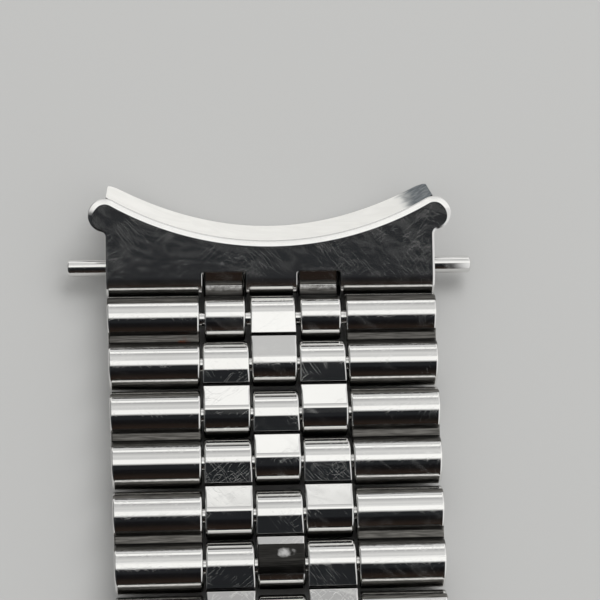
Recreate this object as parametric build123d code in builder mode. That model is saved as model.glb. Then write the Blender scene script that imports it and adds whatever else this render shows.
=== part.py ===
# Five link watch bracelet: one strand, lying with its dial side down as in the photograph.
#
# X runs along the pins, +Y towards the watch case and +Z towards the wrist side.
# The origin is the middle of the bounding box, on the surface that the strand lies on.

import os
from math import asin, atan2, cos, degrees, hypot, radians, sin, sqrt, tan

from build123d import *

# Links, in millimetres and degrees
lug_width = 20.0
strand_inset = 0.075
strand_taper = 1.9
rows = 4
link_radius = 1.43
outer_column_gap = 0.28
inner_column_gap = 0.11
side_gap = 0.15
centre_width = 2.7
inner_width = 2.75
corner_angle = 14.0
valley_angle = 60.0
crease_angle = 13.0
seam_width = 0.07
seam_depth = 0.09

# Pins, pressed in the outer and centre links and free in the inner ones
pin_radius = 0.5
pin_clearance = 0.05
pin_recess = 0.12

# Spring bar, and the first inner links that turn on it
bar_radius = 0.75
bar_clearance = 0.05
bar_wall = 0.13
lip_length = 0.4
lip_clearance = 0.03
head_length = 1.3
head_clearance = 0.03
tip_radius = 0.525
tip_reach = 2.4
tip_travel = 1.6
tip_end_play = 0.1
shoulder_radius = 0.68
shoulder_clearance = 0.05
shoulder_length = 0.55
coil_radius = 0.5
neck_top = 0.25
neck_play = 0.1

# End link, seen in its own frame: the bar's axis is the origin and the wrist plate is level
end_side_play = 0.025
sheet = 0.4
plate_tilt = 21.5
plate_rise = 0.32
hole_cover = 0.15
roll_setback = 0.67
roll_gap = 0.05
rim_reach = 1.5
ear_overhang = 0.025
ear_reach = 3.1
ear_radius = 1.03
foot_round = 0.3
wall_slant = 19.1
wall_step = 0.05
flat_length = 3.4
crown_radius = 5.0
crown_angle = 60.0
notch_reach = 0.4
eye_play = 0.08
cheek_recess = 0.05
overrun = 8.0

# Sizes worked out from them
roll_radius = shoulder_radius + shoulder_clearance + hole_cover + sheet
plate_height = roll_radius + plate_rise
outer_pitch = 2 * link_radius + inner_column_gap
inner_pitch = 2 * link_radius + outer_column_gap
first_pitch = hypot(roll_setback, plate_height - roll_radius) + roll_radius + roll_gap + link_radius
inner_start = centre_width / 2 + side_gap
inner_middle = inner_start + inner_width / 2
outer_start = inner_start + inner_width + side_gap
notch_width = inner_width - neck_play
first_width = notch_width - 2 * neck_play
eye_radius = plate_height - sheet - eye_play
bar_bore = bar_radius - bar_wall
end_half_width = lug_width / 2 - end_side_play
ear_offset = end_half_width + ear_overhang
cheek_end = end_half_width - cheek_recess
shoulder_start = end_half_width - shoulder_length
barrel_end = shoulder_start - tip_travel - tip_end_play
head_end = barrel_end - lip_length
tilt = radians(plate_tilt)
pin_height = roll_radius + roll_setback * sin(tilt) - (plate_height - roll_radius) * cos(tilt)
ear_rise = ear_reach - rim_reach
case_radius = (ear_offset**2 + ear_rise**2 - ear_radius**2) / (2 * (ear_radius + ear_rise))
case_centre = rim_reach + case_radius
wall_radius = case_radius + wall_step
wall_angle = radians(wall_slant + plate_tilt)
wall_direction = (0, sin(wall_angle), -cos(wall_angle))
plate_plane = Plane(
    origin=(0, -plate_height * sin(tilt), pin_height + plate_height * cos(tilt)),
    x_dir=(1, 0, 0),
    z_dir=(0, -sin(tilt), cos(tilt)),
)


def pin_place(number):
    """Distance of a pin behind the spring bar: pins 1 and 2 are in the first row, and so on."""
    place = first_pitch + (number - 1) // 2 * (outer_pitch + inner_pitch)
    if number % 2 == 0:
        place += outer_pitch
    return place


def side_half_width(place):
    """Half the strand's width at a distance behind the spring bar."""
    return end_half_width - strand_inset - (place - first_pitch) * tan(radians(strand_taper))


def side_plane(x, place):
    """Side view at x, centred on a pin: its x runs towards the case and its y towards the wrist."""
    return Plane(origin=(x, -place, pin_height), x_dir=(0, 1, 0), z_dir=(1, 0, 0))


def end_side_plane(x):
    """Side view of the end link in its own frame."""
    return Plane(origin=(x, 0, pin_height), x_dir=(0, cos(tilt), sin(tilt)), z_dir=(1, 0, 0))


def on_circle(centre, radius, angle):
    """Point of a circle at an angle in degrees."""
    return (centre[0] + radius * cos(radians(angle)), centre[1] + radius * sin(radians(angle)))


def crease_height(pitch):
    """Height of a loaf link's crease over the pins."""
    slope = radians(crease_angle)
    return link_radius * cos(slope) - (pitch / 2 - link_radius * sin(slope)) * tan(slope)


def dial_crown(pitch):
    """The dial side of a link: one low arc, with its lowest line on the surface."""
    front_corner = on_circle((0, 0), link_radius, -corner_angle)
    rear_corner = on_circle((-pitch, 0), link_radius, 180 + corner_angle)
    ThreePointArc(rear_corner, (-pitch / 2, -pin_height), front_corner)


def outer_outline(pitch):
    """Outline of an outer link: two half round humps, a narrow valley floor and the dial crown."""
    front_end = on_circle((0, 0), link_radius, 90 + valley_angle)
    rear_end = on_circle((-pitch, 0), link_radius, 90 - valley_angle)
    sweep_angle = corner_angle + 90 + valley_angle
    CenterArc((0, 0), link_radius, -corner_angle, sweep_angle)
    Line(front_end, rear_end)
    CenterArc((-pitch, 0), link_radius, 90 - valley_angle, sweep_angle)
    dial_crown(pitch)


def loaf_outline(pitch):
    """Outline of an inner or centre link: rounded ends and two facets that meet in a crease."""
    front_end = on_circle((0, 0), link_radius, 90 + crease_angle)
    rear_end = on_circle((-pitch, 0), link_radius, 90 - crease_angle)
    crease = (-pitch / 2, crease_height(pitch))
    sweep_angle = corner_angle + 90 + crease_angle
    CenterArc((0, 0), link_radius, -corner_angle, sweep_angle)
    Line(front_end, crease)
    Line(crease, rear_end)
    CenterArc((-pitch, 0), link_radius, 90 - crease_angle, sweep_angle)
    dial_crown(pitch)


def first_outline(pitch):
    """Outline of a first inner link without its eye: one hump, a low neck and the dial crown."""
    hump_front = (-pitch + sqrt(link_radius**2 - neck_top**2), neck_top)
    hump_angle = degrees(asin(neck_top / link_radius))
    rear_corner = on_circle((-pitch, 0), link_radius, 180 + corner_angle)
    half_chord = -pitch / 2 - rear_corner[0]
    sag = pin_height + rear_corner[1]
    crown = (half_chord**2 + sag**2) / (2 * sag)
    root = (0, crown - pin_height - sqrt(crown**2 - (pitch / 2) ** 2))
    Line((0, neck_top), hump_front)
    CenterArc((-pitch, 0), link_radius, hump_angle, 180 + corner_angle - hump_angle)
    ThreePointArc(rear_corner, (-pitch / 2, -pin_height), root)
    Line(root, (0, neck_top))


def loaf_link(pitch, low_x, high_x, place, front_bore, rear_bore):
    """An inner or centre link, with a fine seam across its crease where the sheet's ends meet."""
    top = crease_height(pitch)
    with BuildPart() as link:
        with BuildSketch(side_plane(low_x, place)):
            with BuildLine():
                loaf_outline(pitch)
            make_face()
            Circle(front_bore, mode=Mode.SUBTRACT)
            with Locations((-pitch, 0)):
                Circle(rear_bore, mode=Mode.SUBTRACT)
        extrude(amount=high_x - low_x)
        with BuildSketch(side_plane(low_x, place)):
            with BuildLine():
                Polyline(
                    (-pitch / 2 - seam_width, top + seam_depth),
                    (-pitch / 2, top - seam_depth),
                    (-pitch / 2 + seam_width, top + seam_depth),
                    close=True,
                )
            make_face()
        extrude(amount=high_x - low_x, mode=Mode.SUBTRACT)
    return link.part


def outer_link(place, side, rear_bore):
    """An outer link, from the column gap to the tapered side of the strand; side is 1 or -1."""
    taper = radians(strand_taper)
    side_face = Plane(
        origin=(side_half_width(place), -place, pin_height),
        x_dir=(sin(taper), cos(taper), 0),
        z_dir=(cos(taper), -sin(taper), 0),
    )
    with BuildPart() as link:
        with BuildSketch(side_plane(outer_start, place)):
            with BuildLine():
                outer_outline(outer_pitch)
            make_face()
            Circle(pin_radius, mode=Mode.SUBTRACT)
            with Locations((-outer_pitch, 0)):
                Circle(rear_bore, mode=Mode.SUBTRACT)
        extrude(amount=side_half_width(place - 2 * link_radius) - outer_start)
        split(bisect_by=side_face, keep=Keep.BOTTOM)
    if side > 0:
        return link.part
    return mirror(link.part, about=Plane.YZ)


def first_link(side):
    """A first inner link: hump on pin 1, neck, and eye on the spring bar."""
    with BuildPart() as link:
        with BuildSketch(side_plane(side * inner_middle - first_width / 2, 0)):
            with BuildLine():
                first_outline(first_pitch)
            make_face()
            Circle(eye_radius)
            Circle(bar_radius + bar_clearance, mode=Mode.SUBTRACT)
            with Locations((-first_pitch, 0)):
                Circle(pin_radius + pin_clearance, mode=Mode.SUBTRACT)
        extrude(amount=first_width)
    return link.part


def row_pins(numbers):
    """A row's pins, by number, which end just below the outer links' side faces."""
    with BuildPart() as pins:
        for pin in numbers:
            half = side_half_width(pin_place(pin)) - pin_recess
            with BuildSketch(side_plane(-half, pin_place(pin))):
                Circle(pin_radius)
            extrude(amount=2 * half)
    return pins.part


def fold_lines(depth, plate_start):
    """The folded skin's line at a depth below its outside: plate, roll, flat dial face and crown."""
    centre = (-roll_setback, plate_height - roll_radius)
    roll_end = on_circle(centre, roll_radius - depth, 270 - plate_tilt)
    flat_end = (roll_end[0] + flat_length * cos(tilt), roll_end[1] - flat_length * sin(tilt))
    plate = Line((plate_start, plate_height - depth), (centre[0], plate_height - depth))
    roll = CenterArc(centre, roll_radius - depth, 90, 180 - plate_tilt)
    flat = Line(roll_end, flat_end)
    crown = JernArc(flat_end, (cos(tilt), -sin(tilt)), crown_radius - depth, crown_angle)
    return plate, roll, flat, crown


def inside_of_fold(low_x, high_x):
    """The space inside the folded skin, open-ended past the case wall."""
    with BuildPart() as inside:
        with BuildSketch(end_side_plane(low_x)):
            with BuildLine():
                plate, roll, flat, crown = fold_lines(sheet, overrun)
                Line(crown @ 1, plate @ 0)
            make_face()
        extrude(amount=high_x - low_x)
    return inside.part


def case_cylinder(radius):
    """The slanted cylinder that the case wall follows, from the plate's underside down."""
    with BuildPart() as cylinder:
        with BuildSketch(plate_plane.offset(-sheet)):
            with Locations((0, case_centre)):
                Circle(radius)
        extrude(amount=overrun, dir=wall_direction)
    return cylinder.part


def ear_outline():
    """The wrist plate's outline: straight sides, two round ears and the case curve between them."""
    towards = atan2(ear_reach - case_centre, ear_offset)
    touch = (case_radius * cos(towards), case_centre + case_radius * sin(towards))
    ear_tip = ear_offset + ear_radius
    ear_foot = ear_reach - sqrt(ear_radius**2 - (ear_offset - end_half_width) ** 2)
    right_foot = (end_half_width, ear_foot)
    left_foot = (-end_half_width, ear_foot)
    Polyline(left_foot, (-end_half_width, 0), (end_half_width, 0), right_foot)
    ThreePointArc(right_foot, (ear_tip, ear_reach), touch)
    ThreePointArc(touch, (0, rim_reach), (-touch[0], touch[1]))
    ThreePointArc((-touch[0], touch[1]), (-ear_tip, ear_reach), left_foot)


def end_link_skin():
    """The folded sheet: wrist plate with its ears, roll, dial face, and notches for the tongues."""
    case_side = case_cylinder(wall_radius)
    with BuildPart() as skin:
        with BuildSketch(plate_plane):
            with BuildLine():
                ear_outline()
            make_face()
            feet = vertices().group_by(Axis.Y)[1]
            fillet(feet, radius=foot_round)
        extrude(amount=-sheet)
        with BuildSketch(end_side_plane(-end_half_width)):
            with BuildLine():
                outside = fold_lines(0, 0)
                inside = fold_lines(sheet, 0)
                Line(outside[0] @ 0, inside[0] @ 0)
                Line(outside[3] @ 1, inside[3] @ 1)
            make_face()
        extrude(amount=2 * end_half_width)
        add(case_side, mode=Mode.SUBTRACT)
        for side in (-1, 1):
            low_x = side * inner_middle - notch_width / 2
            with BuildSketch(end_side_plane(low_x)):
                with Locations((-notch_reach, 0)):
                    Rectangle(overrun, overrun, align=(Align.MAX, Align.CENTER))
            extrude(amount=notch_width, mode=Mode.SUBTRACT)
            with BuildSketch(side_plane(low_x, 0)):
                with Locations((eye_radius + eye_play, 0)):
                    Rectangle(overrun, overrun, align=(Align.MAX, Align.MAX))
            extrude(amount=notch_width, mode=Mode.SUBTRACT)
    return skin.part


def end_link_wall():
    """The curved wall between the wrist plate and the dial face, leaning towards the case."""
    inner_side = case_cylinder(wall_radius + sheet)
    case_side = case_cylinder(wall_radius)
    inside = inside_of_fold(-end_half_width, end_half_width)
    with BuildPart() as wall:
        add(inner_side)
        add(case_side, mode=Mode.SUBTRACT)
        add(inside, mode=Mode.INTERSECT)
    return wall.part


def end_link_cheek(side):
    """A side wall inside the folded skin, with the hole for a tip's shoulder; side is 1 or -1."""
    inside = inside_of_fold(cheek_end - sheet, cheek_end)
    wall_side = case_cylinder(wall_radius + sheet)
    with BuildPart() as cheek:
        add(inside)
        add(wall_side, mode=Mode.SUBTRACT)
        with BuildSketch(side_plane(cheek_end, 0)):
            Circle(shoulder_radius + shoulder_clearance)
        extrude(amount=-sheet, mode=Mode.SUBTRACT)
    if side > 0:
        return cheek.part
    return mirror(cheek.part, about=Plane.YZ)


def bar_barrel():
    """The spring bar's tube, drawn in at both ends to hold the tips."""
    with BuildPart() as barrel:
        with BuildSketch(side_plane(-barrel_end, 0)):
            Circle(bar_radius)
            Circle(tip_radius + lip_clearance, mode=Mode.SUBTRACT)
        extrude(amount=2 * barrel_end)
        with BuildSketch(side_plane(-head_end, 0)):
            Circle(bar_bore)
        extrude(amount=2 * head_end, mode=Mode.SUBTRACT)
    return barrel.part


def bar_tip(side):
    """A spring bar tip: head in the barrel, shoulder in the cheek, free end; side is 1 or -1."""
    with BuildPart() as tip:
        with BuildSketch(side_plane(head_end, 0)):
            Circle(bar_bore - head_clearance)
        extrude(amount=-head_length)
        with BuildSketch(side_plane(head_end, 0)):
            Circle(tip_radius)
        extrude(amount=end_half_width + tip_reach - head_end)
        with BuildSketch(side_plane(shoulder_start, 0)):
            Circle(shoulder_radius)
        extrude(amount=shoulder_length)
    if side > 0:
        return tip.part
    return mirror(tip.part, about=Plane.YZ)


def bar_coil():
    """The coil between the two heads, as a rod of its outside size."""
    end = head_end - head_length
    with BuildPart() as coil:
        with BuildSketch(side_plane(-end, 0)):
            Circle(coil_radius)
        extrude(amount=2 * end)
    return coil.part


pieces = {
    "end_link_skin": end_link_skin(),
    "end_link_wall": end_link_wall(),
    "end_link_cheek_left": end_link_cheek(-1),
    "end_link_cheek_right": end_link_cheek(1),
    "spring_bar_barrel": bar_barrel(),
    "spring_bar_tip_left": bar_tip(-1),
    "spring_bar_tip_right": bar_tip(1),
    "spring_bar_coil": bar_coil(),
    "inner_link_1_left": first_link(-1),
    "inner_link_1_right": first_link(1),
}
for row in range(1, rows + 1):
    # The last row's rear bores stay open for the clasp's pin, and no inner links follow it
    is_last = row == rows
    loose_bore = pin_radius + pin_clearance
    rear_bore = loose_bore if is_last else pin_radius
    place = pin_place(2 * row - 1)
    pieces[f"outer_link_{row}_left"] = outer_link(place, -1, rear_bore)
    pieces[f"outer_link_{row}_right"] = outer_link(place, 1, rear_bore)
    pieces[f"centre_link_{row}"] = loaf_link(
        outer_pitch, -centre_width / 2, centre_width / 2, place, pin_radius, rear_bore
    )
    pieces[f"link_pins_{row}"] = row_pins([2 * row - 1] if is_last else [2 * row - 1, 2 * row])
    if not is_last:
        for side_name, low_x in (("left", -inner_start - inner_width), ("right", inner_start)):
            pieces[f"inner_link_{row + 1}_{side_name}"] = loaf_link(
                inner_pitch, low_x, low_x + inner_width, pin_place(2 * row), loose_bore, loose_bore
            )

case_end = pieces["end_link_skin"].bounding_box().max.Y
clasp_end = -pin_place(2 * rows) - link_radius
bar_place = -(case_end + clasp_end) / 2
centring = Location((0, bar_place, 0))
print("spring bar axis: y", round(bar_place, 4), "z", round(pin_height, 4))
for pin in range(1, 2 * rows + 1):
    print("pin", pin, "axis: y", round(bar_place - pin_place(pin), 4))

os.makedirs("parts", exist_ok=True)
for name, part in pieces.items():
    placed = part.moved(centring)
    placed.label = name
    export_step(placed, f"parts/{name}.step")
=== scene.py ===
from math import atan2, ceil, cos, degrees, hypot, pi, radians, sin, sqrt, tan

import bmesh
import bpy
from mathutils import Matrix, Vector


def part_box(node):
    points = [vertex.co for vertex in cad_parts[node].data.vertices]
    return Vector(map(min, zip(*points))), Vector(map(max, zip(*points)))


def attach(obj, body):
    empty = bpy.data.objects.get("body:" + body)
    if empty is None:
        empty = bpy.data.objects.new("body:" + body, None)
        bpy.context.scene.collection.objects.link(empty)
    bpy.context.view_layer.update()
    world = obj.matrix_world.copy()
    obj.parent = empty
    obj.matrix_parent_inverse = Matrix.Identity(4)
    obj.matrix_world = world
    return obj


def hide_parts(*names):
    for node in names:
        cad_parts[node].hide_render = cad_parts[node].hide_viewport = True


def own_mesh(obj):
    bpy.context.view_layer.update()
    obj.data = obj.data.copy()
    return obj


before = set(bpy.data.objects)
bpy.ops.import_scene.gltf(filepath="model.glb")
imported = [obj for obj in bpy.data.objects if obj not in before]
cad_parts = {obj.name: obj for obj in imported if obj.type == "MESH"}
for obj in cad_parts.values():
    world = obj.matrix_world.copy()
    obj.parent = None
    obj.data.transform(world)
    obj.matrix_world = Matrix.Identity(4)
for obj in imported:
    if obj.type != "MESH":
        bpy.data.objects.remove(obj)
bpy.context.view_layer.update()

# Sizes of the CAD model, in millimetres and radians
MM = 0.001
HALF_WIDTH = 9.975
SHEET = 0.4
TILT_DEGREES = 21.5
TILT = radians(TILT_DEGREES)
PLATE_HEIGHT = 1.6
ROLL_CENTRE = (-0.67, 0.32)
ROLL_RADIUS = 1.28
ROLL_LENGTH = ROLL_RADIUS * radians(180 - TILT_DEGREES)
FLAT_LENGTH = 3.4
CROWN_RADIUS = 5.0
RIM_REACH = 1.5
EAR_REACH = 3.1
EAR_RADIUS = 1.03
EAR_OFFSET = 10.0
EAR_FOOT_ROUND = 0.3
WALL_SLANT = radians(19.1)
WALL_STEP = 0.05
NOTCH_MIDDLE = 2.875
NOTCH_WIDTH = 2.65
NOTCH_REACH = 0.4
LINK_RADIUS = 1.43
OUTER_PITCH = 2.97
INNER_PITCH = 3.14
FIRST_PITCH = 3.5025
INNER_START = 1.5
INNER_WIDTH = 2.75
OUTER_START = 4.4
CENTRE_WIDTH = 2.7
FIRST_WIDTH = 2.45
EYE_RADIUS = 1.12
EYE_BORE = 0.8
CORNER_ANGLE = radians(14)
VALLEY_ANGLE = radians(60)
STRAND_TAPER = radians(1.9)
STRAND_INSET = 0.075
PIN_RADIUS = 0.5
LOOSE_RADIUS = 0.55
NECK_TOP = 0.25
ROWS = 4
TIP_RADIUS = 0.525
TIP_REACH = 2.4
HEAD_RADIUS = 0.59
HEAD_LENGTH = 1.3
SHOULDER_RADIUS = 0.68
SHOULDER_LENGTH = 0.55
BARREL_GAP = 1.7
BARREL_CAP = 0.4

bar_low, bar_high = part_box("spring_bar_barrel")
BAR_Y = (bar_low.y + bar_high.y) / 2 / MM
BAR_Z = (bar_low.z + bar_high.z) / 2 / MM

EAR_RISE = EAR_REACH - RIM_REACH
CASE_RADIUS = (EAR_OFFSET**2 + EAR_RISE**2 - EAR_RADIUS**2) / (2 * (EAR_RADIUS + EAR_RISE))
CASE_CENTRE = RIM_REACH + CASE_RADIUS
WALL_RADIUS = CASE_RADIUS + WALL_STEP

# Sizes of the visible pieces only, in millimetres; the two angles are in degrees
CASE_RIM = 0.38
SIDE_RIM = 0.14
DIAL_RIM = 0.1
NOTCH_RIM = 0.045
UNDER_RIM = 0.05
NOTCH_CORNER = 0.16
NOTCH_GAP = 0.08
WALL_CORNER = 0.8
WALL_INSET = 0.03
WALL_SINK = 0.06
LINK_EDGE = 0.14
OUTER_EDGE = 0.16
BORE_EDGE = 0.03
LOWER_ROUND = 0.28
HUMP_BULGE = 0.06
VALLEY_ROUND = 0.14
NECK_ROUND = 0.12
NECK_SLOPE = 44
EYE_FILLET = 0.15
SEAM_HALF = 0.06
SEAM_LIP = 0.09
SEAM_DEPTH = 0.34
SHELF_ANGLE = 8
SHELF_BEND = 0.9
TOP_BEND = 0.55
COIL_WIRE = 0.12
COIL_TURNS = 12
SAME_PLACE = 0.0005

SIDES = ((-1, "left"), (1, "right"))


def pin_place(number):
    """Distance of a pin behind the spring bar."""
    place = FIRST_PITCH + (number - 1) // 2 * (OUTER_PITCH + INNER_PITCH)
    return place + (OUTER_PITCH if number % 2 == 0 else 0)


def strand_side(y):
    """Half the strand's width at a place in the row frame."""
    place = BAR_Y - y
    return HALF_WIDTH - STRAND_INSET - (place - FIRST_PITCH) * tan(STRAND_TAPER)


def fade(value, low, high):
    """0 below low and 1 above high, or the other way round where low is the higher one."""
    share = min(1, max(0, (value - low) / (high - low)))
    return share * share * (3 - 2 * share)


# Outlines are lists of (y, z, normal y, normal z), anticlockwise, round a link's first pin.
# A fifth value is the share of the link's side edge that a point takes.
def arc(centre, radius, start, end, step=3.0):
    """Points of an arc with their outward normals; a negative radius is a hollow one."""
    count = max(1, ceil(abs(end - start) / step))
    side = 1 if radius > 0 else -1
    reach = abs(radius)
    points = []
    for index in range(count + 1):
        angle = radians(start + (end - start) * index / count)
        across, up = cos(angle), sin(angle)
        points.append((centre[0] + reach * across, centre[1] + reach * up, side * across, side * up))
    return points


def meet(centre_a, radius_a, centre_b, radius_b, side):
    """Where two circles cross: for side 1 on the left of the line from a to b, for -1 on its right."""
    gap = hypot(centre_b[0] - centre_a[0], centre_b[1] - centre_a[1])
    along = (gap**2 + radius_a**2 - radius_b**2) / (2 * gap)
    off = sqrt(max(radius_a**2 - along**2, 0)) * side
    across = (centre_b[0] - centre_a[0]) / gap
    up = (centre_b[1] - centre_a[1]) / gap
    return (centre_a[0] + along * across - off * up, centre_a[1] + along * up + off * across)


def heading(a, b):
    """Angle in degrees from one point to another."""
    return degrees(atan2(b[1] - a[1], b[0] - a[0]))


def without_repeats(points):
    """A closed loop's points without those that lie on the one before."""
    kept = []
    for point in points:
        if kept and hypot(point[0] - kept[-1][0], point[1] - kept[-1][1]) < SAME_PLACE:
            continue
        kept.append(point)
    if hypot(kept[0][0] - kept[-1][0], kept[0][1] - kept[-1][1]) < SAME_PLACE:
        kept.pop()
    return kept


def dial_crown(pitch):
    """Centre and radius of the low crown between a link's lower corners."""
    half_chord = pitch / 2 + LINK_RADIUS * cos(CORNER_ANGLE)
    sag = BAR_Z - LINK_RADIUS * sin(CORNER_ANGLE)
    radius = (half_chord**2 + sag**2) / (2 * sag)
    return (-pitch / 2, radius - BAR_Z), radius


def dial_side(pitch):
    """The rounded lower corners with the crown between them, and the angle where the front one ends."""
    crown_centre, crown = dial_crown(pitch)
    front = meet((0, 0), LINK_RADIUS - LOWER_ROUND, crown_centre, crown - LOWER_ROUND, -1)
    rear = (-pitch - front[0], front[1])
    low = heading(crown_centre, front)
    corner = heading((0, 0), front)
    points = arc(rear, LOWER_ROUND, 180 - corner, 180 - low, 9)
    points += arc(crown_centre, crown, 180 - low, low % 360, 2)[1:-1]
    points += arc(front, LOWER_ROUND, low, corner, 9)
    return points, corner


def outer_outline(rear_bulge):
    """Two half round humps, a little fuller at the row's ends, with a flat valley floor between them."""
    valley_z = LINK_RADIUS * cos(VALLEY_ANGLE) + VALLEY_ROUND
    valley_y = -sqrt((LINK_RADIUS + VALLEY_ROUND) ** 2 - valley_z**2)
    lift = heading((0, 0), (valley_y, valley_z))
    bottom, corner = dial_side(OUTER_PITCH)
    points = arc((HUMP_BULGE, 0), LINK_RADIUS, corner, 90)
    points += arc((0, 0), LINK_RADIUS, 90, lift)
    points += arc((valley_y, valley_z), -VALLEY_ROUND, lift + 180, 270, 12)
    points += arc((-OUTER_PITCH - valley_y, valley_z), -VALLEY_ROUND, 270, 360 - lift, 12)
    points += arc((-OUTER_PITCH, 0), LINK_RADIUS, 180 - lift, 90)
    points += arc((-OUTER_PITCH - rear_bulge, 0), LINK_RADIUS, 90, 180 - corner)
    return without_repeats(points + bottom)


def loaf_outline(pitch, front_crease, rear_crease, shelf=0.0):
    """Rounded ends and two flats that slope to a fine open seam.

    The creases are the flats' slopes in degrees, and the shelf is a gentler run before the front flat.
    """
    bottom, corner = dial_side(pitch)
    if shelf:
        points = arc((0, 0), LINK_RADIUS, corner, 90 + SHELF_ANGLE)
        slope = radians(SHELF_ANGLE)
        bend_y = (SHELF_BEND - LINK_RADIUS) * sin(slope) - shelf * cos(slope)
        bend_z = (LINK_RADIUS - SHELF_BEND) * cos(slope) - shelf * sin(slope)
        points += arc((bend_y, bend_z), SHELF_BEND, 90 + SHELF_ANGLE, 90 + front_crease)
    else:
        points = arc((0, 0), LINK_RADIUS, corner, 90 + front_crease)
    rear_slope = radians(rear_crease)
    rear_start = (LINK_RADIUS * sin(rear_slope), LINK_RADIUS * cos(rear_slope))
    lip_heights = []
    tops = []
    for crease, start_y, start_z in (
        (front_crease, -points[-1][0], points[-1][1]),
        (rear_crease, *rear_start),
    ):
        slope = radians(crease)
        top = start_z - (pitch / 2 - start_y) * tan(slope)
        tops.append(top)
        lip_heights.append(top + (SEAM_HALF + SEAM_LIP) * tan(slope) - SEAM_LIP / cos(slope))
    seam_y = -pitch / 2
    seam = arc((seam_y + SEAM_HALF + SEAM_LIP, lip_heights[0]), SEAM_LIP, 90 + front_crease, 180, 12)
    seam += arc((seam_y, min(tops) - SEAM_DEPTH), -SEAM_HALF, 0, -180, 30)
    seam += arc((seam_y - SEAM_HALF - SEAM_LIP, lip_heights[1]), SEAM_LIP, 0, 90 - rear_crease, 12)
    seam_edge_share = 0.5
    points += [(*point, seam_edge_share) for point in seam]
    top_z = (LINK_RADIUS - TOP_BEND) / cos(rear_slope)
    bend = arc((-pitch, top_z), TOP_BEND, 90 - rear_crease, 90 + rear_crease, 4)
    seam_end = points[-1]
    # Points on the rear flat, where the painted dark reflection can start
    for share in (0.3, 0.36, 0.68):
        flat_y = seam_end[0] + (bend[0][0] - seam_end[0]) * share
        flat_z = seam_end[1] + (bend[0][1] - seam_end[1]) * share
        points.append((flat_y, flat_z, bend[0][2], bend[0][3]))
    points += bend
    points += arc((-pitch, 0), LINK_RADIUS, 90 + rear_crease, 180 - corner)
    return without_repeats(points + bottom)


def first_outline():
    """One hump, a low neck and the eye that turns on the spring bar."""
    pin = (-FIRST_PITCH, 0)
    slope = radians(NECK_SLOPE)
    hump_z = NECK_TOP + NECK_ROUND
    hump_y = -FIRST_PITCH + sqrt((LINK_RADIUS + NECK_ROUND) ** 2 - hump_z**2)
    fall = heading(pin, (hump_y, hump_z))
    slope_top = (-EYE_RADIUS * sin(slope), EYE_RADIUS * cos(slope))
    slope_run = (slope_top[1] - NECK_TOP) / tan(slope)
    slope_foot = slope_top[0] - slope_run - NECK_ROUND * tan(slope / 2)
    crown_centre, crown = dial_crown(FIRST_PITCH)
    rear = meet(pin, LINK_RADIUS - LOWER_ROUND, crown_centre, crown - LOWER_ROUND, 1)
    front = meet((0, 0), EYE_RADIUS + EYE_FILLET, crown_centre, crown + EYE_FILLET, -1)
    corner = heading(pin, rear) % 360
    low = heading(crown_centre, rear) % 360
    high = heading(crown_centre, front) % 360
    points = arc((0, 0), EYE_RADIUS, heading((0, 0), front), 90 + NECK_SLOPE)
    points += arc((slope_foot, hump_z), -NECK_ROUND, 270 + NECK_SLOPE, 270, 11)
    points += arc((hump_y, hump_z), -NECK_ROUND, 270, fall + 180, 15)
    points += arc(pin, LINK_RADIUS, fall, corner)
    points += arc(rear, LOWER_ROUND, corner, low, 9)
    points += arc(crown_centre, crown, low, high, 2)[1:-1]
    points += arc(front, -EYE_FILLET, heading(front, crown_centre), heading(front, (0, 0)), 12)
    return without_repeats(points)


def finish_mesh(name, bm, normals, dirt_and_shade_of=None):
    """Object from a bmesh in millimetres, with its own smooth normals and its dirt and painted shade
    where it has them.
    """
    bmesh.ops.recalc_face_normals(bm, faces=bm.faces)
    if bm.calc_volume(signed=True) < 0:
        bmesh.ops.reverse_faces(bm, faces=bm.faces)
    mesh = bpy.data.meshes.new(name)
    wanted = None
    if normals is not None:
        wanted = [vertex[normals].normalized() for vertex in bm.verts]
    darkening = [dirt_and_shade_of(vertex.co, vertex[normals]) if dirt_and_shade_of else (0.0, 0.0) for vertex in bm.verts]
    for vertex in bm.verts:
        vertex.co *= MM
    bm.to_mesh(mesh)
    bm.free()
    mesh.polygons.foreach_set("use_smooth", [True] * len(mesh.polygons))
    if wanted is not None:
        mesh.normals_split_custom_set_from_vertices(wanted)
    mesh.update()
    for layer, values in zip(("grime_and_shade", "soot_and_shade"), zip(*darkening)):
        mesh.attributes.new(layer, "FLOAT", "POINT").data.foreach_set("value", values)
    piece = bpy.data.objects.new(name, mesh)
    bpy.context.scene.collection.objects.link(piece)
    return piece


def join_rings(bm, ring_a, ring_b, flip=False):
    """Quads between two rings of the same length."""
    count = len(ring_a)
    for index in range(count):
        after = (index + 1) % count
        corners = (ring_a[index], ring_a[after], ring_b[after], ring_b[index])
        bm.faces.new(corners[::-1] if flip else corners)


def join_all(bm, rings, flip=False):
    """Quads between each ring and the next."""
    for ring_a, ring_b in zip(rings, rings[1:]):
        join_rings(bm, ring_a, ring_b, flip)


def fill_between(bm, rings, facing):
    """A flat face between an outer ring and the rings of its holes, turned to face one way."""
    edges = []
    for ring in rings:
        for index, vertex in enumerate(ring):
            ends = (vertex, ring[(index + 1) % len(ring)])
            edges.append(bm.edges.get(ends) or bm.edges.new(ends))
    made = bmesh.ops.triangle_fill(bm, use_beauty=True, use_dissolve=False, edges=edges, normal=facing)
    bm.normal_update()
    for item in made["geom"]:
        if isinstance(item, bmesh.types.BMFace) and item.normal.dot(facing) < 0:
            item.normal_flip()


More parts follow.
